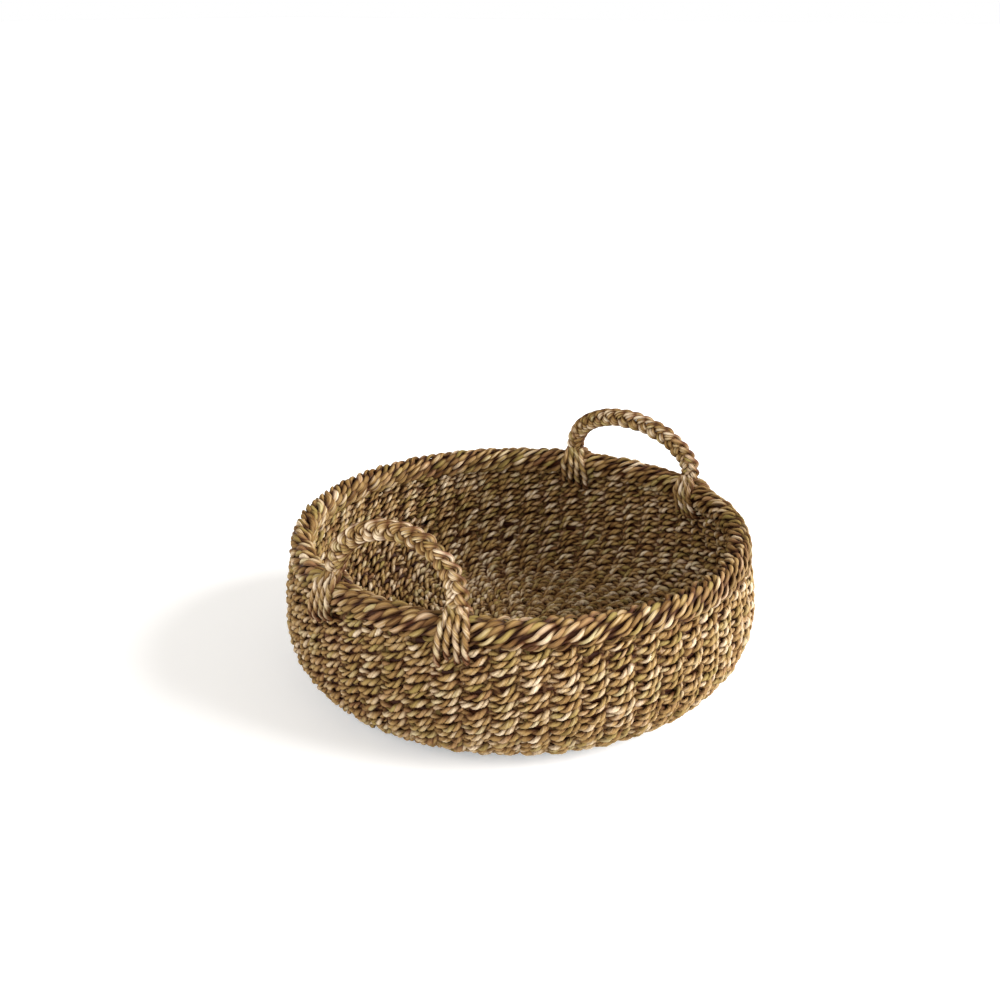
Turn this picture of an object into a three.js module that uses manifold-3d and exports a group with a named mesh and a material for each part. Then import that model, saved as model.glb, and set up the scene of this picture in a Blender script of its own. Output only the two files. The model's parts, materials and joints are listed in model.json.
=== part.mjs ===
// A round, shallow seagrass storage basket, twined over radial stakes, with a thick rim
// border and two plaited loop handles. Millimetres, +Z up, the handles near the X axis.
import * as THREE from "three";
import { mergeVertices } from "three/addons/utils/BufferGeometryUtils.js";
import Module from "manifold-3d";

const wasm = await Module();
wasm.setup();

// Wall: the line of the stakes seen in section. It leaves the flat base, turns up round a
// quarter circle to the belly, and leans in along a flatter arc to the rim.
const bellyRadius = 176.5;
const bendRadius = 51.5;
const shoulderRadius = 160;
const rimSeatHeight = 101.9;

// The three layers of the wall and of the base, measured square to the stake line.
const stakeThickness = 2.4;
const stakeWidth = 3;
const layerGap = 0.6;
const weaverThickness = 5;
const weaverNear = stakeThickness / 2 + layerGap;
const weaverFar = weaverNear + weaverThickness;

// Counts and spacing
const wallCourses = 18;
const stakesPerGroup = 7;
const stakeGroups = 8;
const baseEdgeArc = 14;
const courseGap = 0.4;
const courseTaper = 0.8;
const ringSides = 36;
const stakeBow = 0.24;
const stakeBendSteps = 6;

// The bundle that neighbouring stakes make near the middle of the base, and its gap to the next one.
const hubInnerRadius = 14;
const hubOuterRadius = 46;
const hubOverlap = 6;
const hubSideGap = 0.45;

// Rim border: its section is widest between its shoulders and narrower at its foot and crown.
const rimHalfThickness = 7.3;
const rimHeight = 17.2;
const rimFootWidth = 0.7;
const rimCrownWidth = 0.6;
const rimShoulderLow = 0.25;
const rimShoulderHigh = 0.68;
const rimCrown = 0.93;
const rimSides = 40;

// Handles: where the middle of each stands round the basket, and half the angle that it spans.
// Being made by hand, the two aren't quite opposite or equally wide.
const handles = [
  { number: 1, turn: THREE.MathUtils.degToRad(-3), halfAngle: THREE.MathUtils.degToRad(20.75) },
  { number: 2, turn: THREE.MathUtils.degToRad(182.5), halfAngle: THREE.MathUtils.degToRad(18.25) },
];
const handleRise = 37;
const handleLean = 6;
const hingeGap = 4;

// A handle's foot, which straddles the rim; its corners are shares of its own reach.
const footWidth = 24;
const footReach = 13;
const footClearance = 1.3;
const footThickness = 3.2;
const footShoulder = 0.7;
const footCrownInside = 0.55;
const footCrownOutside = 0.3;

// The three-strand plait
const plaitHalfWidth = 6;
const plaitHalfDepth = 4.2;
const plaitTurns = 3;
const stepsPerTurn = 10;
const strandRadius = 2.3;
const strandSides = 5;

// Worked out from the dimensions above
const stakeLevel = weaverFar;
const flatRadius = bellyRadius - bendRadius;
const bellyHeight = stakeLevel + bendRadius;
const bendArc = bendRadius * Math.PI / 2;
const shoulderAngle = Math.asin((rimSeatHeight - bellyHeight) / shoulderRadius);
const wallArc = bendArc + shoulderRadius * shoulderAngle;
const coursePitch = (wallArc - baseEdgeArc) / wallCourses;
const stakeStep = 2 * Math.PI / (stakesPerGroup * stakeGroups);

const seagrass = (colour) => new THREE.MeshStandardMaterial({
  color: colour, roughness: 0.72, metalness: 0,
});
const courseColour = 0xa88a56;
const liningColour = 0x8a6d43;
const stakeColour = 0x6f5634;
const rimColour = 0xb0925c;
const handleColour = 0xb4985f;

const part = new THREE.Group();
part.name = "seagrass_basket";

function add(name, geometry, colour, parent = part) {
  const mesh = new THREE.Mesh(geometry, seagrass(colour));
  mesh.name = name;
  parent.add(mesh);
  return mesh;
}

// A point of the wall: arc is measured up the stake line from the edge of the flat base,
// out is measured square to that line, positive to the outside, and up along it.
function wallPoint(arc, out = 0, up = 0) {
  if (arc < bendArc) {
    const angle = arc / bendRadius;
    const [sin, cos] = [Math.sin(angle), Math.cos(angle)];
    const reach = bendRadius + out;
    return new THREE.Vector2(
      flatRadius + reach * sin + up * cos,
      bellyHeight - reach * cos + up * sin,
    );
  }
  const angle = (arc - bendArc) / shoulderRadius;
  const [sin, cos] = [Math.sin(angle), Math.cos(angle)];
  const reach = shoulderRadius + out;
  return new THREE.Vector2(
    bellyRadius - shoulderRadius + reach * cos - up * sin,
    bellyHeight + reach * sin + up * cos,
  );
}

// A solid of revolution about Z from a section in radius and height.
function turned(section, sides) {
  return new THREE.LatheGeometry(section, sides).rotateX(Math.PI / 2);
}

// Moves a section out so that the flats of its ring, and not the corners, have its radius.
function flatsToRadius(section, sides) {
  return section.map((p) => new THREE.Vector2(p.x / Math.cos(Math.PI / sides), p.y));
}

// One half of a twined course: the weavers on the outer or the inner side of the stakes.
function courseRing(arc, side) {
  const half = (coursePitch - courseGap) / 2;
  const section = [
    wallPoint(arc, side * weaverNear, -half),
    wallPoint(arc, side * weaverFar, -half + courseTaper),
    wallPoint(arc, side * weaverFar, half - courseTaper),
    wallPoint(arc, side * weaverNear, half),
  ];
  section.push(section[0].clone());
  if (side < 0) section.reverse();
  return turned(side > 0 ? flatsToRadius(section, ringSides) : section, ringSides);
}

// One face of the base: a disc that turns up at its edge as far as the first wall course.
function baseDisc(side) {
  const edge = [0, 0.5, 1].map((t) => t * (baseEdgeArc - courseGap / 2));
  const near = edge.map((arc) => wallPoint(arc, side * weaverNear)).reverse();
  const far = edge.map((arc) => wallPoint(arc, side * weaverFar));
  const section = [
    new THREE.Vector2(0, far[0].y), ...far, ...near, new THREE.Vector2(0, near[2].y),
  ];
  return turned(side > 0 ? section : section.reverse(), ringSides);
}

function toManifold(geometry) {
  const bare = new THREE.BufferGeometry();
  bare.setAttribute("position", geometry.getAttribute("position"));
  if (geometry.index) bare.setIndex(geometry.index);
  const merged = mergeVertices(bare, 1e-4);
  return new wasm.Manifold(new wasm.Mesh({
    numProp: 3,
    vertProperties: new Float32Array(merged.getAttribute("position").array),
    triVerts: new Uint32Array(merged.index.array),
  }));
}

function fromManifold(solid) {
  const mesh = solid.getMesh();
  const geometry = new THREE.BufferGeometry();
  geometry.setAttribute("position", new THREE.BufferAttribute(mesh.vertProperties, 3));
  geometry.setIndex(new THREE.BufferAttribute(mesh.triVerts, 1));
  return geometry;
}

// A plate of the given width, centred on the X axis, from an outline in radius and height.
function acrossX(outline, width) {
  return new THREE.ExtrudeGeometry(new THREE.Shape(outline), { depth: width, bevelEnabled: false })
    .rotateX(Math.PI / 2).translate(0, width / 2, 0);
}

// One stake: a strip that runs out along the base and up the wall. It bows out a little, so
// that the flats between its corners stay midway between the weavers.
function stake(startRadius, angle) {
  const half = stakeThickness / 2;
  const topArc = wallArc - courseGap;
  const arcs = [];
  for (let i = 0; i <= stakeBendSteps; i++) arcs.push(bendArc * i / stakeBendSteps);
  arcs.push((bendArc + topArc) / 2, topArc);
  const side = (out) => arcs.map((arc) => wallPoint(arc, (arc > 0 ? stakeBow : 0) + out));
  const outline = [
    new THREE.Vector2(startRadius, stakeLevel - half), ...side(half),
    ...side(-half).reverse(), new THREE.Vector2(startRadius, stakeLevel + half),
  ];
  return acrossX(outline, stakeWidth).rotateZ(angle);
}

// Neighbouring stakes, which are one bundle where they meet near the middle of the base.
function stakeGroup() {
  const reach = (stakesPerGroup - 1) / 2 * stakeStep;
  const innerHalf = hubInnerRadius * Math.tan(stakesPerGroup / 2 * stakeStep) - hubSideGap;
  const outerHalf = hubOuterRadius * Math.tan(reach) + stakeWidth / 2;
  const hub = new THREE.ExtrudeGeometry(new THREE.Shape([
    new THREE.Vector2(hubInnerRadius, -innerHalf), new THREE.Vector2(hubOuterRadius, -outerHalf),
    new THREE.Vector2(hubOuterRadius, outerHalf), new THREE.Vector2(hubInnerRadius, innerHalf),
  ]), { depth: stakeThickness, bevelEnabled: false });
  hub.translate(0, 0, stakeLevel - stakeThickness / 2);
  let solid = toManifold(hub);
  for (let i = 0; i < stakesPerGroup; i++) {
    solid = solid.add(toManifold(stake(hubOuterRadius - hubOverlap, i * stakeStep - reach)));
  }
  return fromManifold(solid);
}

// The border, whose section stands on the top course and leans in with the wall.
function rimBorder() {
  const h = rimHalfThickness;
  const levels = [
    [rimFootWidth * h, courseGap], [h, rimShoulderLow * rimHeight],
    [h, rimShoulderHigh * rimHeight], [rimCrownWidth * h, rimCrown * rimHeight],
  ];
  const outside = levels.map(([out, up]) => wallPoint(wallArc, out, up));
  const inside = levels.map(([out, up]) => wallPoint(wallArc, -out, up)).reverse();
  const section = [...outside, wallPoint(wallArc, 0, rimHeight), ...inside, outside[0].clone()];
  return turned(section, rimSides);
}

// The ends of a handle's strands: they straddle the rim and run down both faces of the wall.
function handleFoot() {
  const near = rimHalfThickness + footClearance;
  const far = near + footThickness;
  const crest = rimHeight + footClearance;
  const top = crest + footThickness;
  const down = wallArc - footReach;
  const rim = (out, up) => wallPoint(wallArc, out, up);
  const inner = [
    wallPoint(down, near), rim(near, 0), rim(near, footShoulder * crest),
    rim(footCrownInside * near, crest), rim(-footCrownInside * near, crest),
    rim(-near, footShoulder * crest), rim(-near, 0), wallPoint(down, -near),
  ];
  const outer = [
    wallPoint(down, -far), rim(-far, 0), rim(-far, footShoulder * crest),
    rim(-footCrownOutside * far, top), rim(footCrownOutside * far, top),
    rim(far, footShoulder * crest), rim(far, 0), wallPoint(down, far),
  ];
  return acrossX([...inner, ...outer], footWidth);
}

const crestPoint = wallPoint(wallArc, 0, rimHeight);
const handleSeat = wallPoint(wallArc, 0, rimHeight + footClearance + footThickness + hingeGap);

// One strand of a flat three-strand plait. The plait's middle line is half an ellipse over the
// handle's two feet that leans in at the top.
class PlaitStrand extends THREE.Curve {
  constructor(halfAngle, phase) {
    super();
    this.phase = phase;
    this.reach = crestPoint.x * Math.cos(halfAngle);
    this.halfSpan = crestPoint.x * Math.sin(halfAngle);
  }

  getPoint(t, target = new THREE.Vector3()) {
    const angle = Math.PI * t;
    const turn = 2 * Math.PI * plaitTurns * t + this.phase;
    const across = new THREE.Vector3(
      0, Math.cos(angle) / this.halfSpan, Math.sin(angle) / handleRise,
    ).normalize();
    target.set(
      this.reach - handleLean * Math.sin(angle),
      this.halfSpan * Math.cos(angle),
      handleSeat.y + handleRise * Math.sin(angle),
    ).addScaledVector(across, plaitHalfWidth * Math.sin(turn));
    target.x += plaitHalfDepth * Math.sin(2 * turn);
    return target;
  }
}

function plaitStrand(halfAngle, index) {
  const section = [];
  for (let i = 0; i < strandSides; i++) {
    const angle = 2 * Math.PI * i / strandSides;
    section.push(new THREE.Vector2(strandRadius * Math.cos(angle), strandRadius * Math.sin(angle)));
  }
  return new THREE.ExtrudeGeometry(new THREE.Shape(section), {
    steps: plaitTurns * stepsPerTurn,
    extrudePath: new PlaitStrand(halfAngle, 2 * Math.PI * index / 3),
    bevelEnabled: false,
  });
}

add("base_weave_lower", baseDisc(1), courseColour);
add("base_weave_upper", baseDisc(-1), liningColour);

const groupGeometry = stakeGroup();
for (let i = 0; i < stakeGroups; i++) {
  const name = `stake_group_${String(i + 1).padStart(2, "0")}`;
  const mesh = add(name, groupGeometry.clone(), stakeColour);
  mesh.rotation.z = (i + 0.5) * stakesPerGroup * stakeStep;
}

for (let i = 0; i < wallCourses; i++) {
  const arc = baseEdgeArc + (i + 0.5) * coursePitch;
  const name = `wall_course_${String(i + 1).padStart(2, "0")}`;
  add(`${name}_outer`, courseRing(arc, 1), courseColour);
  add(`${name}_inner`, courseRing(arc, -1), liningColour);
}

add("rim_border", rimBorder(), rimColour);

for (const { number, turn, halfAngle } of handles) {
  const handle = new THREE.Group();
  handle.rotation.z = turn;
  part.add(handle);
  for (const [letter, azimuth] of [["a", halfAngle], ["b", -halfAngle]]) {
    const foot = add(`handle_${number}_foot_${letter}`, handleFoot(), handleColour, handle);
    foot.rotation.z = azimuth;
  }
  ["a", "b", "c"].forEach((letter, index) => {
    add(`handle_${number}_strand_${letter}`, plaitStrand(halfAngle, index), handleColour, handle);
  });
}

export default part;
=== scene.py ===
"""A round seagrass storage basket with two plaited handles.

Every cord of the weave is made as itself: each course of the wall and base is two weavers of two
plies that swap sides between the stakes. Metres, +Z up, the handles near the X axis.
"""
import json
import math

import bpy
import numpy as np
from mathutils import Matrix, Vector


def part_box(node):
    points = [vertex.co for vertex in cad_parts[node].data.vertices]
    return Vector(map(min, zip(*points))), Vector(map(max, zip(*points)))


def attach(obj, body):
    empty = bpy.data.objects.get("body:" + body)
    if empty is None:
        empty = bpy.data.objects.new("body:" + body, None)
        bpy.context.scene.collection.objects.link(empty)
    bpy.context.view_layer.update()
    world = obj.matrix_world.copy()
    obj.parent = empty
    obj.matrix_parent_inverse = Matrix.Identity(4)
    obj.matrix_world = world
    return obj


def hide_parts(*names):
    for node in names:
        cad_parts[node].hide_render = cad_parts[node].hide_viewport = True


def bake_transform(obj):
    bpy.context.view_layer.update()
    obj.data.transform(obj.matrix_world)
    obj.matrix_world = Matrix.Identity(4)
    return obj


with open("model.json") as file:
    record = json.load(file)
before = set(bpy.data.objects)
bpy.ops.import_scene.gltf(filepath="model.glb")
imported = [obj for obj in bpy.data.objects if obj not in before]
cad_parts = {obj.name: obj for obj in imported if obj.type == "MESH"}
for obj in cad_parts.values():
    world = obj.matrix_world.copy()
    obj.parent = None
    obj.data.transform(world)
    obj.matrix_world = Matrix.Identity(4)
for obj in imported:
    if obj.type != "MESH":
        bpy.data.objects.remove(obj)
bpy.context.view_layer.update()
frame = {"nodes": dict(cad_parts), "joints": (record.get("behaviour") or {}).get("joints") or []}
rng = np.random.default_rng(11)
TAU = math.tau


# ---------------------------------------------------------------------------------------------
# Sizes
# ---------------------------------------------------------------------------------------------

def corner(node, end, axis):
    """One number of a node's box: end 0 for the low corner and 1 for the high one."""
    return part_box(node)[end]["xyz".index(axis)]


STAKES = 56
COURSES = sum(node.startswith("wall_course") and node.endswith("_outer")
              for node in frame["nodes"])
STAKE_STEP = TAU / STAKES

# The stake line, in section: flat base, quarter circle up to the belly, flatter arc to the rim.
# The bend swells by BEND_SWELL, and by up to BEND_SHIFT more towards SHIFT_TURN. Arcs are counted
# along the line from the edge of the flat base, and the wall's first course begins at
# BASE_EDGE_ARC.
STAKE_LEVEL = 0.0068
BELLY_RADIUS = 0.1765
BEND_RADIUS = 0.0515
SHOULDER_RADIUS = 0.160
RIM_SEAT = 0.1019
BASE_EDGE_ARC = 0.014
BEND_SWELL = 0.0016
BEND_SHIFT = 0.0028
SHIFT_TURN = math.radians(126)

FLAT_RADIUS = BELLY_RADIUS - BEND_RADIUS
BELLY_HEIGHT = STAKE_LEVEL + BEND_RADIUS
BEND_ARC = BEND_RADIUS * math.pi / 2
WALL_ARC = BEND_ARC + SHOULDER_RADIUS * math.asin((RIM_SEAT - BELLY_HEIGHT) / SHOULDER_RADIUS)
COURSE_PITCH = (WALL_ARC - BASE_EDGE_ARC) / COURSES

# The cord: two plies pressed flat on each other, and how far a weaver swings out of the stake
# line and up and down
PLY_THICK = 0.00145
PLY_WIDE = 0.00182
PLY_OFFSET = 0.00145
PLY_LAY = 0.0142
WEAVER_OUT = 0.0035
BASE_WEAVER_OUT = 0.0034
WEAVER_RISE = 0.0018
WEAVER_DIP = 0.0021

# How uneven the weave is: the spread of each random drift, in stitches, metres or radians, or as
# a share of the size that it changes
STAKE_WANDER = 0.05
STITCH_WANDER = 0.075
COURSE_SAG = 0.0002
STITCH_SAG = 0.00042
BULGE_UNEVEN = 0.12
BULGE_LIMIT = 0.06
DIP_UNEVEN = 0.35
PLY_SLIP = 0.7
PLY_UNEVEN = 0.16

# The rim border
RIM_HALF_WIDTH = 0.0073
RIM_HEIGHT = 0.0172

# Seeds of the random numbers, one for each course, strand or foot after these
WALL_SEED = 100
BASE_SEED = 300
BORDER_SEED = 700
PLAIT_SEED = 900
FOOT_SEED = 950


# ---------------------------------------------------------------------------------------------
# Small tools
# ---------------------------------------------------------------------------------------------

def drift(places, knots):
    """A smooth random line: a value at each whole number, eased between them, and repeating."""
    low = np.floor(places).astype(int)
    share = places - low
    share = share * share * (3 - 2 * share)
    count = len(knots)
    return knots[low % count] * (1 - share) + knots[(low + 1) % count] * share


def unit(vectors):
    """Each vector divided by its own length."""
    return vectors / np.linalg.norm(vectors, axis=-1, keepdims=True)


def along(points, closed):
    """The direction of a line at each of its points: the next point less the one before."""
    if closed:
        return unit(np.roll(points, -1, 0) - np.roll(points, 1, 0))
    return unit(np.gradient(points, axis=0))


def square_to(forward, vectors):
    """The vectors less their share along forward, each made a unit long."""
    return unit(vectors - forward * (vectors * forward).sum(-1, keepdims=True))


def away_from(side, rise, spin):
    """The direction out of a line at the angle spin round it, from side towards rise."""
    return side * np.cos(spin)[:, None] + rise * np.sin(spin)[:, None]


def wall_frame(arc, turn):
    """A point of the stake line, with the directions out of the wall and up along it.

    The point is arc metres up the line from the edge of the flat base and turn round the basket:
    on the base the radius grows by arc, in the bend it is a circle's sine and cosine, and above
    the belly those of the flatter shoulder arc. The bend is a little out of round: it swells by
    the sine of twice its angle, and more on the side towards SHIFT_TURN.
    """
    arc, turn = np.broadcast_arrays(arc, turn)
    bend = np.clip(arc, 0, BEND_ARC) / BEND_RADIUS
    lean = np.maximum(arc - BEND_ARC, 0) / SHOULDER_RADIUS
    angle = bend + lean
    radius = FLAT_RADIUS + np.minimum(arc, 0) + BEND_RADIUS * np.sin(bend)
    radius = radius - SHOULDER_RADIUS * (1 - np.cos(lean))
    height = STAKE_LEVEL + BEND_RADIUS * (1 - np.cos(bend)) + SHOULDER_RADIUS * np.sin(lean)
    radial = np.stack([np.cos(turn), np.sin(turn), np.zeros_like(turn)], -1)
    upright = np.array([0.0, 0.0, 1.0])
    point = radial * radius[..., None] + upright * height[..., None]
    out = radial * np.sin(angle)[..., None] - upright * np.cos(angle)[..., None]
    sag = BEND_SWELL + BEND_SHIFT * np.cos(turn - SHIFT_TURN)
    point = point + out * (sag * np.sin(bend * 2))[..., None]
    up = radial * np.cos(angle)[..., None] + upright * np.sin(angle)[..., None]
    return point, out, up


NO_CORNER = -1


class Bundle:
    """Gathers the surfaces of many cords into one mesh.

    A face is a row of four corners, and a triangle's last one is NO_CORNER.
    """

    def __init__(self):
        self.points, self.faces, self.uvs, self.tones = [], [], [], []
        self.count = 0

    def cord(self, line, side, width, depth, tone, hue, painted_shade, sides=6, closed=False,
             face=None, flank_shade=0.0):
        """A cord carried along a line: a point round it is side times an angle's cosine times
        the half width, and the third direction times its sine times the half depth.

        A closed line's last ring meets its first; an open one is shut by a point at each end.
        tone and hue are the cord's lightness and colour along it, and the value after them its
        painted shade, which stands for how deep it lies in the weave. Where face is given, the
        flanks that look away from it get more painted shade, by up to the flank amount.
        """
        forward = along(line, closed)
        side = square_to(forward, side)
        third = np.cross(side, forward)
        length = np.linalg.norm(np.diff(line, axis=0, append=line[:1]), axis=-1)
        length = np.concatenate([[0], np.cumsum(length)])
        rings = len(line)
        beta = np.arange(sides) / sides * TAU
        width, depth = np.broadcast_to(width, rings), np.broadcast_to(depth, rings)
        ring = (line[:, None] + side[:, None] * (width[:, None] * np.cos(beta))[..., None]
                + third[:, None] * (depth[:, None] * np.sin(beta))[..., None])
        index = np.arange(rings * sides).reshape(rings, sides) + self.count
        ahead = np.roll(index, -1, 0) if closed else index[1:]
        here = index if closed else index[:-1]
        quads = np.stack([here, np.roll(here, -1, 1), np.roll(ahead, -1, 1), ahead], -1)
        rows = len(here)
        self.faces.append(quads.reshape(-1, 4))
        u0, u1 = length[:rows], length[1:rows + 1]
        v0 = np.arange(sides) / sides
        v1 = v0 + 1 / sides
        uv = np.empty((rows, sides, 4, 2))
        uv[..., 0, 0] = uv[..., 1, 0] = u0[:, None]
        uv[..., 2, 0] = uv[..., 3, 0] = u1[:, None]
        uv[..., 0, 1] = uv[..., 3, 1] = v0
        uv[..., 1, 1] = uv[..., 2, 1] = v1
        self.uvs.append(uv.reshape(-1, 2))
        values = np.stack([np.broadcast_to(v, rings) for v in (tone, hue, painted_shade)], -1)
        around = np.repeat(values[:, None], sides, 1)
        # Painted shade on the flanks that look away from face.
        if face is not None:
            looks = unit(ring - line[:, None])
            away = 1 - np.abs((looks * face[:, None]).sum(-1))
            around[..., 2] = np.clip(around[..., 2] + flank_shade * away, 0, 1)
        self.points.append(ring.reshape(-1, 3))
        self.tones.append(around.reshape(-1, 3))
        self.count += rings * sides
        if not closed:
            for row, order in ((0, [0, 2, 1, 3]), (-1, [1, 2, 0, 3])):
                cap = np.stack([index[row], np.roll(index[row], -1),
                                np.full(sides, self.count), np.full(sides, NO_CORNER)], -1)
                self.faces.append(cap[:, order])
                self.points.append(line[row][None])
                self.tones.append(values[row][None])
                self.uvs.append(np.zeros((sides * 3, 2)))
                self.count += 1

    def finish(self, name, finish, body, slot, *nodes):
        """Makes the mesh, with its UV map and its tone attribute, and sets it on the frame.

        body is None for a piece that is hung on no body.
        """
        corners = np.concatenate([faces[faces != NO_CORNER] for faces in self.faces])
        sizes = np.concatenate([(faces != NO_CORNER).sum(1) for faces in self.faces])
        points = np.concatenate(self.points)
        mesh = bpy.data.meshes.new(name)
        mesh.vertices.add(len(points))
        mesh.vertices.foreach_set("co", points.ravel())
        mesh.loops.add(len(corners))
        mesh.loops.foreach_set("vertex_index", corners)
        mesh.polygons.add(len(sizes))
        starts = np.concatenate([[0], np.cumsum(sizes)[:-1]])
        mesh.polygons.foreach_set("loop_start", starts)
        mesh.uv_layers.new(name="fibre").data.foreach_set(
            "uv", np.concatenate(self.uvs).astype(np.float32).ravel())
        tones = np.concatenate(self.tones)
        tones = np.concatenate([tones, np.ones((len(tones), 1))], 1)
        mesh.attributes.new("tone", "FLOAT_COLOR", "POINT").data.foreach_set(
            "color", tones.astype(np.float32).ravel())
        mesh.update()
        mesh.validate()
        mesh.shade_smooth()
        mesh.materials.append(finish)
        piece = bpy.data.objects.new(name, mesh)
        bpy.context.collection.objects.link(piece)
        if body:
            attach(piece, body)
        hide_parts(*nodes)
        return piece


# ---------------------------------------------------------------------------------------------
# Finishes
# ---------------------------------------------------------------------------------------------

def node_group(name, inputs, outputs):
    """An empty shader group with named sockets, each (name, kind, value)."""
    group = bpy.data.node_groups.new(name, "ShaderNodeTree")
    for label, kind, value in inputs:
        socket = group.interface.new_socket(label, in_out="INPUT", socket_type=kind)
        socket.default_value = value
    for label, kind in outputs:
        group.interface.new_socket(label, in_out="OUTPUT", socket_type=kind)
    return group, group.nodes.new("NodeGroupInput"), group.nodes.new("NodeGroupOutput")


def feed(tree, socket, value):
    """Sets a socket to a number or colour, or links another socket to it."""
    if isinstance(value, (int, float, tuple)):
        socket.default_value = value
    else:
        tree.links.new(value, socket)


def math_node(tree, operation, *values, clamp=False):
    """The output of a Math node; the values are sockets or numbers."""
    node = tree.nodes.new("ShaderNodeMath")
    node.operation, node.use_clamp = operation, clamp
    for socket, value in zip(node.inputs, values):
        feed(tree, socket, value)
    return node.outputs[0]


def mix_colour(tree, share, a, b, blend="MIX"):
    """The colour output of a Mix node; share, a and b are sockets or values."""
    node = tree.nodes.new("ShaderNodeMix")
    node.data_type, node.blend_type = "RGBA", blend
    for slot, value in ((0, share), (6, a), (7, b)):
        feed(tree, node.inputs[slot], value)
    return node.outputs[2]


def fibre_streaks_group():
    """Fine streaks along a stem: noise on the UV map, stretched along it and tight round it.

    The map's turn round the stem is rolled up into a circle, so that the noise has no seam, and
    the place on the object is added, so that no two stems are streaked alike.
    """
    group, source, sink = node_group("fibre_streaks", [
        ("Along", "NodeSocketFloat", 90.0), ("Around", "NodeSocketFloat", 9.0),
        ("Sharpness", "NodeSocketFloat", 1.6)], [
        ("Streak", "NodeSocketFloat"), ("Height", "NodeSocketFloat")])
    uv = group.nodes.new("ShaderNodeUVMap")
    uv.uv_map = "fibre"
    split = group.nodes.new("ShaderNodeSeparateXYZ")
    group.links.new(uv.outputs[0], split.inputs[0])
    place = group.nodes.new("ShaderNodeTexCoord")
    turn = math_node(group, "MULTIPLY", split.outputs[1], TAU)
    joined = group.nodes.new("ShaderNodeCombineXYZ")
    for slot, circle in enumerate(("COSINE", "SINE")):
        ring = math_node(group, "MULTIPLY", math_node(group, circle, turn),
                         source.outputs["Around"])
        group.links.new(ring, joined.inputs[slot])
    run = math_node(group, "MULTIPLY", split.outputs[0], source.outputs["Along"])
    group.links.new(run, joined.inputs[2])
    far = group.nodes.new("ShaderNodeVectorMath")
    far.operation = "MULTIPLY_ADD"
    group.links.new(place.outputs["Object"], far.inputs[0])
    far.inputs[1].default_value = (12.0, 12.0, 12.0)
    group.links.new(joined.outputs[0], far.inputs[2])
    noise = group.nodes.new("ShaderNodeTexNoise")
    noise.inputs["Scale"].default_value = 0.42
    noise.inputs["Detail"].default_value = 3.0
    noise.inputs["Roughness"].default_value = 0.6
    group.links.new(far.outputs[0], noise.inputs["Vector"])
    centred = math_node(group, "SUBTRACT", noise.outputs[0], 0.5)
    sharp = math_node(group, "MULTIPLY", centred, source.outputs["Sharpness"])
    group.links.new(math_node(group, "ADD", sharp, 0.5, clamp=True), sink.inputs["Streak"])
    group.links.new(noise.outputs[0], sink.inputs["Height"])
    return group


def stem_colour_group():
    """Colour of a dried stem: three straw tones by lightness, then shifted to green or red.

    Lightness runs from Dark at 0 through Middle at a half to Light at 1. Hue turns the straw
    greenish above 0.625 and reddish below 0.25, as the two multiply-and-add nodes work out.
    """
    group, source, sink = node_group("stem_colour", [
        ("Lightness", "NodeSocketFloat", 0.5), ("Hue", "NodeSocketFloat", 0.5),
        ("Dark", "NodeSocketColor", (0.12, 0.07, 0.03, 1)),
        ("Middle", "NodeSocketColor", (0.35, 0.24, 0.11, 1)),
        ("Light", "NodeSocketColor", (0.75, 0.62, 0.4, 1)),
        ("Green", "NodeSocketColor", (0.34, 0.30, 0.08, 1)),
        ("Red", "NodeSocketColor", (0.42, 0.22, 0.13, 1))], [("Colour", "NodeSocketColor")])
    out = source.outputs
    low = math_node(group, "MULTIPLY", out["Lightness"], 2.0, clamp=True)
    high = math_node(group, "MULTIPLY_ADD", out["Lightness"], 2.0, -1.0, clamp=True)
    straw = mix_colour(group, low, out["Dark"], out["Middle"])
    straw = mix_colour(group, high, straw, out["Light"])
    greenish = math_node(group, "MULTIPLY_ADD", out["Hue"], 2.4, -1.5, clamp=True)
    reddish = math_node(group, "MULTIPLY_ADD", out["Hue"], -3.0, 0.75, clamp=True)
    straw = mix_colour(group, math_node(group, "MULTIPLY", greenish, 0.6), straw, out["Green"])
    straw = mix_colour(group, math_node(group, "MULTIPLY", reddish, 0.5), straw, out["Red"])
    group.links.new(straw, sink.inputs["Colour"])
    return group


def painted_crevice_shade_group():
    """Painted shade: darkens and reddens a colour where a cord lies deep in the weave, and leaves
    its crowns untouched; it stands in for the shade there and the light reflected from straw to
    straw."""
    group, source, sink = node_group("painted_crevice_shade", [
        ("Colour", "NodeSocketColor", (1, 1, 1, 1)), ("Depth", "NodeSocketFloat", 0.0),
        ("Strength", "NodeSocketFloat", 0.7),
        ("Shade", "NodeSocketColor", (0.15, 0.042, 0.0, 1))], [("Colour", "NodeSocketColor")])
    amount = math_node(group, "MULTIPLY", source.outputs["Depth"], source.outputs["Strength"],
                       clamp=True)
    shaded = mix_colour(group, amount, source.outputs["Colour"], source.outputs["Shade"],
                        "MULTIPLY")
    group.links.new(shaded, sink.inputs["Colour"])
    return group


fibre_streaks = fibre_streaks_group()
stem_colour = stem_colour_group()
painted_crevice_shade = painted_crevice_shade_group()

ROUGHNESS = 0.62
STREAK_GLOSS = 0.18
FIBRE_RELIEF = 0.35
FIBRE_HEIGHT = 0.0006
CREVICE_SHADE = 0.95
SHEEN = 0.2


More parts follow.
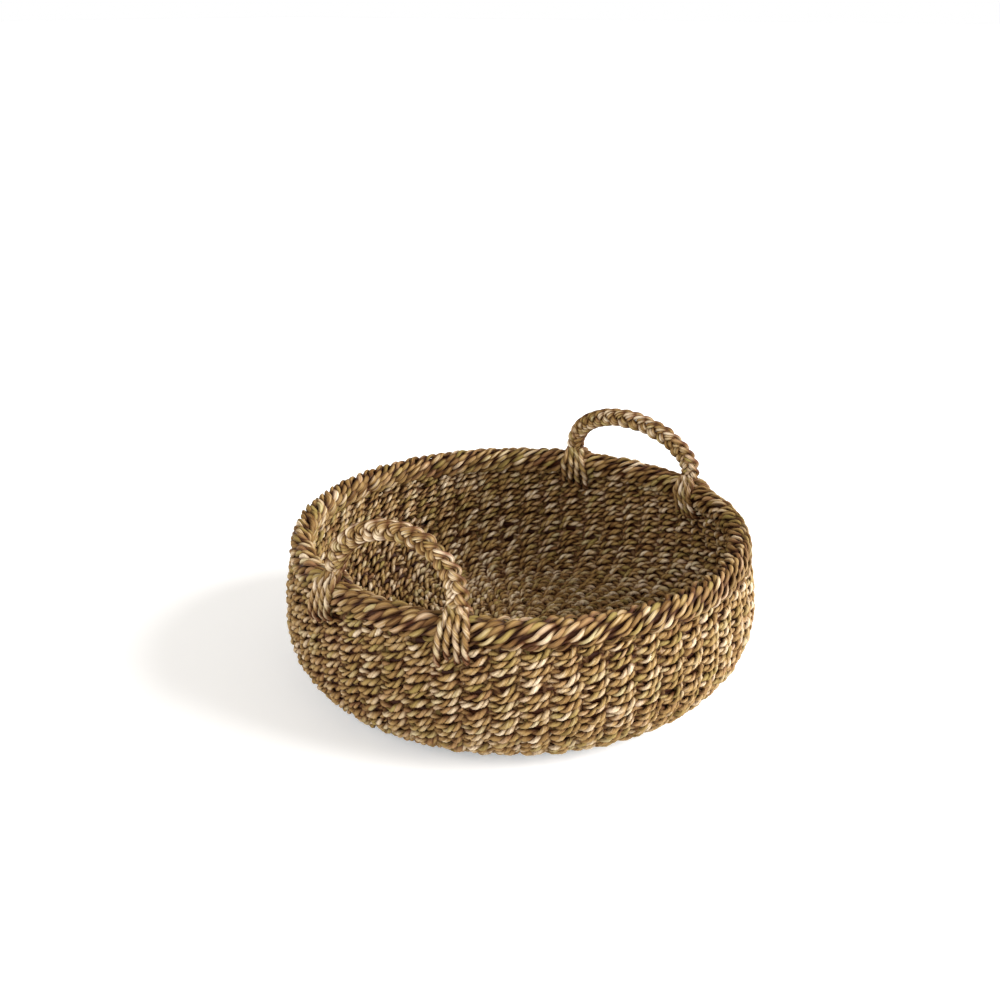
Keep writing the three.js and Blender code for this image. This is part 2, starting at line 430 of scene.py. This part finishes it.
def seagrass(name, dark, middle, light, streak=0.6, grain=5.0):
    """Dried seagrass: the tone attribute and fibre streaks set its colour, and the same streaks
    its roughness and relief. streak is how much they count against the tone of the whole stem,
    and grain how fine they are round it."""
    material = bpy.data.materials.new(name)
    material.use_nodes = True
    tree = material.node_tree
    shader = tree.nodes["Principled BSDF"]
    tone = tree.nodes.new("ShaderNodeAttribute")
    tone.attribute_name = "tone"
    split = tree.nodes.new("ShaderNodeSeparateColor")
    tree.links.new(tone.outputs["Color"], split.inputs[0])
    fibres = tree.nodes.new("ShaderNodeGroup")
    fibres.node_tree = fibre_streaks
    fibres.inputs["Around"].default_value = grain
    swing = math_node(tree, "MULTIPLY_ADD", fibres.outputs["Streak"], streak, -streak / 2)
    lightness = math_node(tree, "ADD", split.outputs[0], swing, clamp=True)
    stem = tree.nodes.new("ShaderNodeGroup")
    stem.node_tree = stem_colour
    for label, value in (("Dark", dark), ("Middle", middle), ("Light", light)):
        stem.inputs[label].default_value = (*value, 1)
    tree.links.new(lightness, stem.inputs["Lightness"])
    tree.links.new(split.outputs[1], stem.inputs["Hue"])
    # Painted shade: the depth value of the tone attribute darkens and reddens the colour where the
    # cord lies deep in the weave, by CREVICE_SHADE.
    deep = tree.nodes.new("ShaderNodeGroup")
    deep.node_tree = painted_crevice_shade
    deep.inputs["Strength"].default_value = CREVICE_SHADE
    tree.links.new(stem.outputs[0], deep.inputs["Colour"])
    tree.links.new(split.outputs[2], deep.inputs["Depth"])
    tree.links.new(deep.outputs[0], shader.inputs["Base Color"])
    rough = math_node(tree, "MULTIPLY_ADD", fibres.outputs["Streak"], -STREAK_GLOSS,
                      ROUGHNESS + STREAK_GLOSS / 2)
    tree.links.new(rough, shader.inputs["Roughness"])
    bump = tree.nodes.new("ShaderNodeBump")
    bump.inputs["Strength"].default_value = FIBRE_RELIEF
    bump.inputs["Distance"].default_value = FIBRE_HEIGHT
    tree.links.new(fibres.outputs["Height"], bump.inputs["Height"])
    tree.links.new(bump.outputs[0], shader.inputs["Normal"])
    shader.inputs["Specular IOR Level"].default_value = SHEEN
    return material


weave_finish = seagrass("seagrass_cord", (0.15, 0.060, 0.010), (0.43, 0.28, 0.102),
                        (0.86, 0.74, 0.54))
stake_finish = seagrass("seagrass_stake", (0.10, 0.045, 0.010), (0.24, 0.14, 0.05),
                        (0.42, 0.29, 0.14))
border_finish = seagrass("seagrass_border", (0.12, 0.050, 0.010), (0.35, 0.222, 0.078),
                         (0.80, 0.68, 0.49), streak=0.8, grain=3.5)
plait_finish = seagrass("seagrass_plait", (0.15, 0.065, 0.012), (0.44, 0.285, 0.105),
                        (0.93, 0.80, 0.60), streak=1.0, grain=4.0)


# ---------------------------------------------------------------------------------------------
# Weave
# ---------------------------------------------------------------------------------------------

stake_wander = rng.normal(0, STAKE_WANDER, STAKES)


def twined_course(bundle, arc, stitches, seed, reach=WEAVER_OUT, per_stitch=16):
    """One course of twining at arc up the stake line.

    Weaver j follows the stake line round. It is moved out by reach times the cosine of a phase,
    which a hyperbolic tangent squares off, and up by WEAVER_RISE times the phase's sine less
    WEAVER_DIP times its cosine. The phase gains half a turn at each stake, so the weaver is in
    front of one stake and behind the next, and the second weaver is half a turn apart. Each
    weaver's two plies are helices round it, half a turn apart. A thin dark filler band lies
    between the weavers on the stake line: painted shade that closes the gaps between them. A
    ply carries the more painted shade the less its weaver swings out and the more it is on the
    weaver's far side, and a painted highlight where it faces away from the stake line; the
    inside is painted a little darker all over, as painted shade.
    """
    squaring = 1.5
    # The three heights set the painted shade of a ply by where it lies in the weave, and
    # inside_shade adds painted shade on the inside of the wall.
    top_height, swing_height, crown_height, inside_shade = 0.64, 0.55, 0.35, 0.12
    # The first number is a painted highlight on the crown of each ply.
    crown_painted_highlight, tone_shift = 0.2, -0.04
    # The filler is a dark band of painted shade on the stake line, which closes the gaps between
    # the weavers.
    shade_filler_reach, shade_filler_thick, shade_filler_tone = 0.85, 0.001, 0.1

    dice = np.random.default_rng(seed)
    turn = np.arange(stitches * per_stitch) / (stitches * per_stitch) * TAU
    place = turn / TAU * stitches
    wander = stake_wander if stitches == STAKES else dice.normal(0, STAKE_WANDER, stitches)
    place_now = place + drift(place, wander + dice.normal(0, STITCH_WANDER, stitches))
    sag = drift(place / 4, dice.normal(0, COURSE_SAG, stitches // 2))
    sag = sag + drift(place, dice.normal(0, STITCH_SAG, stitches))
    bulge = drift(place, dice.normal(0, BULGE_UNEVEN, stitches))
    bulge = 1 + np.minimum(bulge, BULGE_LIMIT)
    dip = WEAVER_DIP * (1 + drift(place, dice.normal(0, DIP_UNEVEN, stitches)))
    point, out, up = wall_frame(arc + sag, turn)
    for weaver in (0, 1):
        phase = math.pi * (place_now + weaver)
        swing = np.tanh(squaring * np.cos(phase)) / math.tanh(squaring)
        line = (point + out * (reach * bulge * swing)[:, None]
                + up * (WEAVER_RISE * np.sin(phase) - dip * np.cos(phase))[:, None])
        forward = along(line, True)
        side = square_to(forward, out)
        rise = np.cross(side, forward)
        steps = np.linalg.norm(np.roll(line, -1, 0) - line, axis=-1)
        length = np.concatenate([[0], np.cumsum(steps)[:-1]])
        whole = steps.sum()
        twists = round(whole / PLY_LAY)
        for ply in (0, 1):
            turns = length / whole * twists + ply / 2
            spin = TAU * turns + drift(place / 2, dice.normal(0, PLY_SLIP, stitches // 2))
            lean = away_from(side, rise, spin)
            full = drift(place * 0.7, dice.normal(0, PLY_UNEVEN, stitches * 7 // 10))
            full = 1 + full
            dashes = turns + 0.5
            crown = np.cos(spin) * np.sign(swing)
            # The crown term paints a highlight on the side of a ply that faces away from the stake
            # line; the depth value below is painted shade, deeper where the ply lies deep and on
            # the inside.
            tone = drift(dashes, dice.beta(1.9, 2.5, twists)) + crown_painted_highlight * crown + tone_shift
            hue = drift(dashes / 2, dice.random(max(twists // 2, 1)))
            height = swing_height * np.abs(swing) + crown_height * crown
            painted_shade = np.clip(top_height - height + inside_shade * (swing < 0), 0, 1)
            bundle.cord(line + lean * PLY_OFFSET, lean, PLY_THICK * full, PLY_WIDE * full, tone,
                        hue, painted_shade, closed=True, face=out, flank_shade=1.0)
    # The filler band is coloured as deep painted shade.
    bundle.cord(point[::4], up[::4], COURSE_PITCH * shade_filler_reach, shade_filler_thick, shade_filler_tone, 0.5,
                1.0, sides=4, closed=True)


# Radii on the base within which a course takes the stakes by pairs and by fours
PAIRS_WITHIN = 0.08
FOURS_WITHIN = 0.042


def base_course(number):
    """Arc and stitch count of a base course, counted in from the edge of the base.

    Nearer the middle the stakes run together, so a course takes them by pairs and then by fours.
    """
    arc = BASE_EDGE_ARC - (number + 0.5) * COURSE_PITCH
    radius = FLAT_RADIUS + min(arc, 0)
    if radius > PAIRS_WITHIN:
        return arc, STAKES
    return arc, STAKES // 2 if radius > FOURS_WITHIN else STAKES // 4


for number in range(COURSES):
    course = Bundle()
    arc = BASE_EDGE_ARC + (number + 0.5) * COURSE_PITCH
    twined_course(course, arc, STAKES, WALL_SEED + number)
    label = f"wall_course_{number + 1:02d}"
    course.finish(label + "_weavers", weave_finish, "basket", "weave_outside",
                  label + "_outer", label + "_inner")

base_courses = int((FLAT_RADIUS + BASE_EDGE_ARC) / COURSE_PITCH) - 1
for number in range(base_courses):
    course = Bundle()
    arc, stitches = base_course(number)
    twined_course(course, arc, stitches, BASE_SEED + number, BASE_WEAVER_OUT, per_stitch=12)
    course.finish(f"base_course_{number + 1:02d}_weavers", weave_finish, "basket",
                  "weave_outside", "base_weave_lower", "base_weave_upper")


# ---------------------------------------------------------------------------------------------
# Stakes
# ---------------------------------------------------------------------------------------------

def stake(bundle, turn, start):
    """Three flat stems side by side, which follow the stake line from start metres from the
    middle of the base to the rim, and narrow towards the middle as the stakes run together."""
    rings, knots, knot_every, tucked_in = 44, 24, 0.02, 0.004
    spacing, half_thick, half_wide = 0.0036, 0.0015, 0.0022
    full_width_from, least_width = 0.11, 0.2

    arc = np.linspace(start - FLAT_RADIUS, WALL_ARC + tucked_in, rings)
    radius = arc + FLAT_RADIUS
    place = radius / knot_every
    point, out, up = wall_frame(arc, np.full_like(arc, turn))
    sideways = np.cross(out, up)
    room = np.clip(radius / full_width_from, least_width, 1)
    for member in (-1, 0, 1):
        sway = spacing * member * room + drift(place, rng.normal(0, 0.0003, knots))
        broad = half_wide * room * (1 + drift(place, rng.normal(0, 0.12, knots)))
        tone = drift(place, rng.beta(2, 3, knots))
        # Each stem carries painted shade all along, as it lies under the weavers.
        bundle.cord(point + sideways * sway[:, None], out, half_thick, broad, tone,
                    hue=rng.random(), painted_shade=0.6)


groups = sorted(name for name in frame["nodes"] if name.startswith("stake_group"))
per_group = STAKES // len(groups)
for number, node in enumerate(groups):
    stakes = Bundle()
    for member in range(per_group):
        turn = (number * per_group + member + 0.5) * STAKE_STEP
        start = 0.010 + 0.012 * (member % 2) + 0.008 * (member % 4 == 1)
        stake(stakes, turn, start)
    stakes.finish(node + "_stems", stake_finish, "basket", "stakes", node)


# ---------------------------------------------------------------------------------------------
# Rim border
# ---------------------------------------------------------------------------------------------

def rim_border():
    """The border: fifteen strands laid slantwise over a core, in five bundles of three.

    Strand i goes round the basket and round the border's section together: the section angle
    gains a full turn in four stakes. The section is a rounded oblong, whose half width goes
    with the angle's cosine to the power side_power, which is less below the middle, and its half
    height with its sine to the power top_power. A bundle's middle strand stands proud over the
    top, which scallops it, and every strand rises and dips by strand_dip four times in a turn,
    out of step with the next. It narrows in the dips, where its tone is painted darker with
    painted shade, and it is painted lighter over the rises as a painted highlight, so that it
    shows as short wraps. The core under the strands is coloured as deep painted shade.
    """
    per_stake, strands, stakes_per_turn, wraps_per_turn = 12, 15, 4, 4
    knots, coarse_knots, wrap_tones = 42, 28, 56
    top_power, upper_side_power, lower_side_power = 0.85, 0.65, 0.4
    strand_dip, strand_inset, foot_drop = 0.0013, 0.0012, 0.0013
    middle_proud, others_proud = 0.0009, -0.0004
    half_thick, half_wide, wide_swell = 0.0013, 0.0018, 0.0005

    bundle = Bundle()
    turn = np.arange(STAKES * per_stake) / (STAKES * per_stake) * TAU
    place = turn / STAKE_STEP
    base, out, up = wall_frame(WALL_ARC, turn)
    centre = base + up * (RIM_HEIGHT / 2)
    for strand in range(strands):
        dice = np.random.default_rng(BORDER_SEED + strand)
        member = strand % 3 - 1
        angle = TAU * (place / stakes_per_turn + (strand - 0.16 * member) / strands)
        angle = angle + drift(place / 2, dice.normal(0, 0.11, coarse_knots))
        cos, sin = np.cos(angle), np.sin(angle)
        side_power = np.where(sin < 0, lower_side_power, upper_side_power)
        crown = drift(place * 0.75, dice.normal(0, 0.0003, knots))
        wraps = angle * wraps_per_turn / TAU
        wraps = wraps + drift(place / 2, dice.normal(member / 3, 0.1, coarse_knots))
        swell = np.sin(TAU * wraps)
        crown = crown + strand_dip * swell
        crest = (middle_proud if member == 0 else others_proud) * np.maximum(sin, 0) ** 3
        wide = RIM_HALF_WIDTH - strand_inset + crown
        high = RIM_HEIGHT / 2 - strand_inset + crown + crest + foot_drop * np.maximum(-sin, 0)
        across = np.sign(cos) * np.abs(cos) ** side_power
        tall = np.sign(sin) * np.abs(sin) ** top_power
        line = centre + out * (wide * across)[:, None] + up * (high * tall)[:, None]
        flat = top_power * RIM_HEIGHT / 2 * np.sign(cos) * np.abs(cos) ** (2 - side_power)
        steep = side_power * RIM_HALF_WIDTH * np.sign(sin) * np.abs(sin) ** (2 - top_power)
        around = unit(out * flat[:, None] + up * steep[:, None])
        roll = 0.5 + drift(place * 0.75, dice.normal(0, 0.25, knots))
        tilt = unit(around + roll[:, None] * np.cross(along(line, True), around))
        broad = half_wide + wide_swell * swell
        broad = broad + drift(place * 0.75, dice.normal(0, 0.0002, knots))
        wrap = np.floor(wraps - 0.75).astype(int) % wrap_tones
        # The swell term paints a highlight over the rises and shade in the dips; the tone of each
        # wrap differs at random.
        tone = dice.beta(2.2, 3.2, wrap_tones)[wrap] + 0.2 * swell - 0.15
        hue = drift(place * 0.5, dice.random(coarse_knots))
        painted_shade = np.clip(0.25 - 0.8 * swell, 0, 0.95)
        bundle.cord(line, tilt, half_thick, broad, tone, hue, painted_shade, sides=8, closed=True,
                    face=around, flank_shade=0.9)
    core_drop, core_side_inset, core_top_inset = 0.0012, 0.0020, 0.0014
    # The core is coloured as deep painted shade, where it shows between the strands.
    bundle.cord((centre - up * core_drop)[::4], out[::4], RIM_HALF_WIDTH - core_side_inset,
                RIM_HEIGHT / 2 - core_top_inset, 0.15, 0.5, 1.0, sides=8, closed=True)
    bundle.finish("rim_border_strands", border_finish, "basket", "border", "rim_border")


rim_border()


# ---------------------------------------------------------------------------------------------
# Handles
# ---------------------------------------------------------------------------------------------

# A handle's middle line, and the plait and its strands' stems
LEG_FOOT = 0.113
LEG_TOP = 0.1268
ARCH_LEAN = 0.006
PLAIT_ACROSS = 0.0047
PLAIT_DEEP = 0.0030
PLAIT_PITCH = 0.025
STEM_HALF = 0.00128
RISE_PAST_RIM = 0.007

crest, _, crest_up = wall_frame(WALL_ARC, np.array([0.0]))
CREST_RADIUS = (crest + crest_up * RIM_HEIGHT)[0, 0]
HANDLE_TOP = corner("handle_1_strand_c", 1, "z")
ARCH_RISE = HANDLE_TOP - PLAIT_ACROSS - 2 * STEM_HALF - LEG_TOP


def arch_line(reach, half_span, count):
    """A handle's middle line: a straight leg, half an ellipse that leans in, and the other leg."""
    leg = LEG_TOP - LEG_FOOT
    total = 2 * leg + math.pi * (half_span + ARCH_RISE) / 2
    s = np.linspace(0, total, count)
    angle = np.clip((s - leg) / (total - 2 * leg), 0, 1) * math.pi
    below = np.maximum(leg - s, 0) + np.maximum(s - total + leg, 0)
    line = np.stack([reach - ARCH_LEAN * np.sin(angle), -half_span * np.cos(angle),
                     LEG_TOP - below + ARCH_RISE * np.sin(angle)], -1)
    return s, line


def plait(bundle, reach, half_span, strand, dice):
    """One strand of a three-strand plait: it sways across the plait by the sine of a phase and
    from face to face by the sine of twice that phase. It is three stems side by side, which are
    pressed closer together where the strand turns back at the plait's edge."""
    rings, middle_lift, stem_spacing, edge_squeeze = 300, 0.0006, 0.0024, 0.0007

    s, line = arch_line(reach, half_span, rings)
    forward = along(line, False)
    face = np.array([1.0, 0.0, 0.0])
    across = unit(np.cross(forward, face))
    phase = TAU * (s / PLAIT_PITCH + strand / 3)
    core = (line + across * (PLAIT_ACROSS * np.sin(phase))[:, None]
            + face * (PLAIT_DEEP * np.sin(2 * phase))[:, None])
    level = unit(np.cross(along(core, False), face))
    spaced = stem_spacing - edge_squeeze * np.sin(phase) ** 4
    outermost = np.abs(np.sin(2 * phase))
    for stem in (-1, 0, 1):
        lift = middle_lift * (stem == 0) + drift(s / 0.012 + stem, dice.normal(0, 0.0005, 28))
        path = core + level * (stem * spaced)[:, None] + face * lift[:, None]
        wide = STEM_HALF * (1 + drift(s / 0.010, dice.normal(0, 0.18, 28)))
        # The outermost term paints a highlight where a strand is out at a face of the plait, and
        # shade where it passes through the middle.
        tone = drift(s / 0.008 + 7 * stem, dice.beta(1.9, 2.3, 24)) + 0.25 * outermost - 0.16
        hue = drift(s / 0.03, dice.random(12))
        bundle.cord(path, level, wide, wide * 1.25, tone, hue, 0.6 - 0.6 * outermost, sides=8,
                    face=np.broadcast_to(face, path.shape), flank_shade=0.9)


def foot(bundle, azimuth, dice):
    """The plait's ends: twisted pairs that part over the rim and run down both faces.

    A pair's middle line rises from the wall's face, goes over the border's edge and bends in to
    the foot of the plait; the pairs fan apart downwards. clear_by and fan_by say how far the
    line is clear of the stake line and how far the pairs fan out, at the shares clear_at and
    fan_at of the way down.
    """
    rings, pairs, pair_spacing, pair_lay, ply_apart = 70, 4, 0.0058, 0.015, 0.0013
    ply_half, ply_taper, sway_by = 0.0016, 0.35, 0.0006
    least_down, down_spread = 0.009, 0.007
    clear_at = (0, 0.14, 0.30, 0.5, 0.88, 1)
    clear_by = (0.0012, 0.0046, 0.0094, 0.0098, 0.0092, 0.0055)
    fan_at, fan_by = (0, 0.3, 1), (0.62, 0.95, 1.2)

    top = RIM_HEIGHT + RISE_PAST_RIM
    t = np.linspace(0, 1, rings)
    clear = np.interp(t, clear_at, clear_by)
    thick = ply_half * (1 - ply_taper * t**4)
    for face in (1, -1):
        for member in range(pairs):
            spread = (member - (pairs - 1) / 2) * pair_spacing
            down = least_down + down_spread * dice.random()
            height = top - (down + top) * t
            fan = np.interp(t, fan_at, fan_by) * spread
            sway = sway_by * np.sin(TAU * (t * 1.3 + dice.random()))
            base, out, up = wall_frame(WALL_ARC + np.minimum(height, 0),
                                       np.full_like(t, azimuth))
            point = base + up * np.maximum(height, 0)[:, None]
            cross = np.cross(up, out)
            line = point + out * (face * clear)[:, None] + cross * (fan + sway)[:, None]
            forward = along(line, False)
            side = square_to(forward, out * face)
            rise = np.cross(side, forward)
            turns = t * (down + top) / pair_lay
            for ply in (0, 1):
                spin = TAU * (turns + ply / 2 + 0.2 * member)
                lean = away_from(side, rise, spin)
                crown = np.cos(spin)
                # The crown term paints a highlight on the side of each ply that faces away from
                # the wall; the depth value below is painted shade on its other sides and towards
                # its lower end, where it runs down into the weave.
                tone = drift(turns * 2 + 9 * ply, dice.beta(1.9, 2.3, 20)) + 0.2 * crown
                hue = drift(turns / 2, dice.random(8))
                painted_shade = np.clip(t * 3 - 2.2, 0, 0.8) + 0.3 - 0.3 * crown
                bundle.cord(line + lean * ply_apart, lean, thick, thick * 1.25, tone, hue,
                            painted_shade, face=side, flank_shade=1.0)


def turned(points, angle):
    """Points turned about the Z axis."""
    cos, sin = math.cos(angle), math.sin(angle)
    return points @ np.array([[cos, sin, 0], [-sin, cos, 0], [0, 0, 1]])


for joint in frame["joints"]:
    body = joint["child"]
    hinge = Vector(joint["pos_m"])
    azimuth = math.atan2(hinge.y, hinge.x)
    reach = math.hypot(hinge.x, hinge.y)
    half_angle = math.acos(reach / CREST_RADIUS)
    number = int(body[-1])
    made = []
    for strand, letter in enumerate("abc"):
        bundle = Bundle()
        dice = np.random.default_rng(PLAIT_SEED + 10 * number + strand)
        plait(bundle, reach, reach * math.tan(half_angle), strand, dice)
        bundle.points = [turned(points, azimuth) for points in bundle.points]
        made.append((bundle, f"{body}_strand_{letter}"))
    for letter, side in (("a", half_angle), ("b", -half_angle)):
        bundle = Bundle()
        dice = np.random.default_rng(FOOT_SEED + 10 * number + ord(letter))
        foot(bundle, azimuth + side, dice)
        made.append((bundle, f"{body}_foot_{letter}"))
    for bundle, node in made:
        piece = bundle.finish(node + "_stems", plait_finish, None, "plait", node)
        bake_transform(piece)


# ---------------------------------------------------------------------------------------------
# Floor, light and camera
# ---------------------------------------------------------------------------------------------

# Directions from the camera: ahead over the floor and to the right
heading = math.radians(-54)
ahead = Vector((-math.sin(heading), math.cos(heading), 0))
right = Vector((math.cos(heading), math.sin(heading), 0))


def pale_floor():
    """A wide sheet of white paper just under the basket, which the camera sees a little lit."""
    drop, camera_glow = 0.0004, 0.32
    bpy.ops.mesh.primitive_plane_add(size=60, location=(0, 0, -drop))
    floor = bpy.context.object
    floor.name = "studio_floor"
    paper = bpy.data.materials.new("white_paper")
    paper.use_nodes = True
    tree = paper.node_tree
    matt = tree.nodes["Principled BSDF"].inputs
    matt["Base Color"].default_value = (0.93, 0.93, 0.93, 1)
    matt["Roughness"].default_value = 0.9
    matt["Emission Color"].default_value = (0.85, 0.93, 1, 1)
    seen = tree.nodes.new("ShaderNodeLightPath").outputs["Is Camera Ray"]
    tree.links.new(math_node(tree, "MULTIPLY", seen, camera_glow), matt["Emission Strength"])
    floor.data.materials.append(paper)


def soft_sky():
    """An even, warm light from all round, which the camera sees as white."""
    warm, white, strength = (1.0, 0.88, 0.74, 1), (1, 1, 1, 1), 0.45
    sky = bpy.data.worlds.new("soft_white")
    sky.use_nodes = True
    tree = sky.node_tree
    air = tree.nodes["Background"]
    seen = tree.nodes.new("ShaderNodeLightPath").outputs["Is Camera Ray"]
    tree.links.new(mix_colour(tree, seen, warm, white), air.inputs["Color"])
    tree.links.new(math_node(tree, "MAXIMUM", seen, strength), air.inputs["Strength"])
    bpy.context.scene.world = sky


def soft_sun(name, toward, strength, spread):
    """A distant light from the direction given, as wide and soft as spread says in degrees."""
    lamp = bpy.data.lights.new(name, "SUN")
    lamp.energy, lamp.angle = strength, math.radians(spread)
    light = bpy.data.objects.new(name, lamp)
    light.rotation_euler = toward.to_track_quat("Z", "Y").to_euler()
    bpy.context.collection.objects.link(light)


pale_floor()
soft_sky()
soft_sun("key_light", right * 0.98 - ahead * 0.20 + Vector((0, 0, 0.46)), 5.7, 40)
soft_sun("fill_light", right * -0.57 - ahead * 0.82 + Vector((0, 0, 0.33)), 2.4, 70)

looking_down = math.radians(21.72)
camera = bpy.data.objects.new("camera", bpy.data.cameras.new("camera"))
camera.data.sensor_width = 36
camera.data.lens = 45
camera.location = right * -0.0158 - ahead * 0.8936 + Vector((0, 0, 0.4927))
camera.rotation_euler = (math.pi / 2 - looking_down, 0, heading)
bpy.context.collection.objects.link(camera)
bpy.context.scene.camera = camera
bpy.context.scene.view_settings.view_transform = "Standard"
